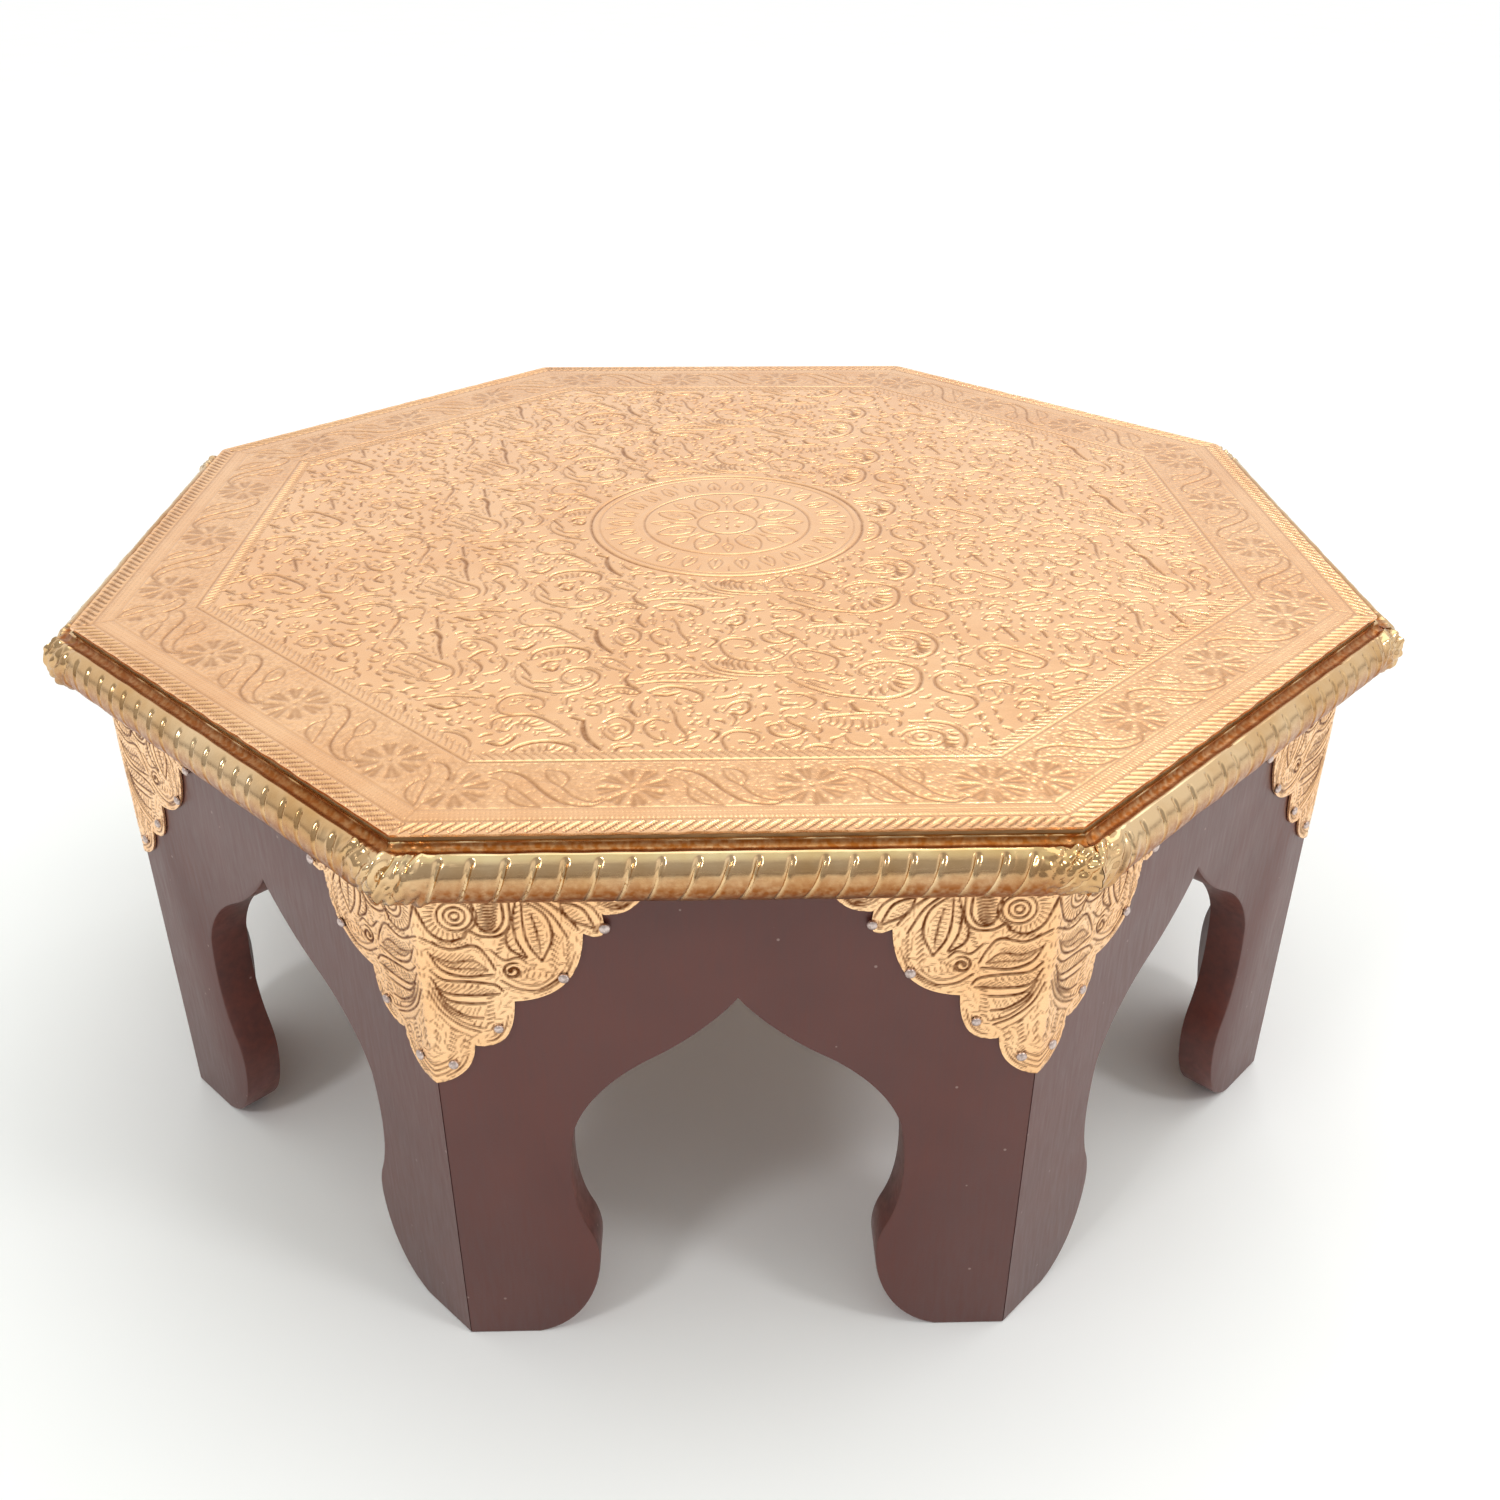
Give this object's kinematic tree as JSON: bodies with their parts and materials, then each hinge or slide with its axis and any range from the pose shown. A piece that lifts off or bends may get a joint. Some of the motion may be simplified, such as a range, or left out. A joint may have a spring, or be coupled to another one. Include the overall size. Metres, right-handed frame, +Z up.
{
  "type": "low octagonal table",
  "caption": "Low octagonal table: mitred wooden panels with ogee arches under a moulded board clad in embossed brass, with scalloped brass plates folded round the corners.",
  "frame": {"origin": "on the floor, under the middle of the table", "axes": "+Z up, -Y out of one flat side (the front), +X to the right of it"},
  "size_m": [0.3852, 0.3852, 0.169],
  "materials": {
    "brass_top": "embossed sheet brass, bright, lightly tarnished in the grooves",
    "brass_rim": "sheet brass dressed over a moulding, ribbed and polished",
    "brass_bracket": "embossed sheet brass with dark engraved lines",
    "painted_wood": "dark purple-brown matt paint over board",
    "raw_wood": "bare sawn board and softwood blocks",
    "steel": "plain steel screws and round-head pins"
  },
  "bodies": {
    "root": {"top_board": "raw_wood", "top_sheet": "brass_top", "side_panel_1": "painted_wood", "side_panel_2": "painted_wood", "side_panel_3": "painted_wood", "side_panel_4": "painted_wood", "side_panel_5": "painted_wood", "side_panel_6": "painted_wood", "side_panel_7": "painted_wood", "side_panel_8": "painted_wood", "rim_strip_1": "brass_rim", "rim_strip_2": "brass_rim", "rim_strip_3": "brass_rim", "rim_strip_4": "brass_rim", "rim_strip_5": "brass_rim", "rim_strip_6": "brass_rim", "rim_strip_7": "brass_rim", "rim_strip_8": "brass_rim", "corner_bracket_1": "brass_bracket", "corner_bracket_2": "brass_bracket", "corner_bracket_3": "brass_bracket", "corner_bracket_4": "brass_bracket", "corner_bracket_5": "brass_bracket", "corner_bracket_6": "brass_bracket", "corner_bracket_7": "brass_bracket", "corner_bracket_8": "brass_bracket", "corner_block_1": "raw_wood", "corner_block_2": "raw_wood", "corner_block_3": "raw_wood", "corner_block_4": "raw_wood", "corner_block_5": "raw_wood", "corner_block_6": "raw_wood", "corner_block_7": "raw_wood", "corner_block_8": "raw_wood", "block_screw_1": "steel", "block_screw_2": "steel", "block_screw_3": "steel", "block_screw_4": "steel", "block_screw_5": "steel", "block_screw_6": "steel", "block_screw_7": "steel", "block_screw_8": "steel"}
  },
  "joints": []
}
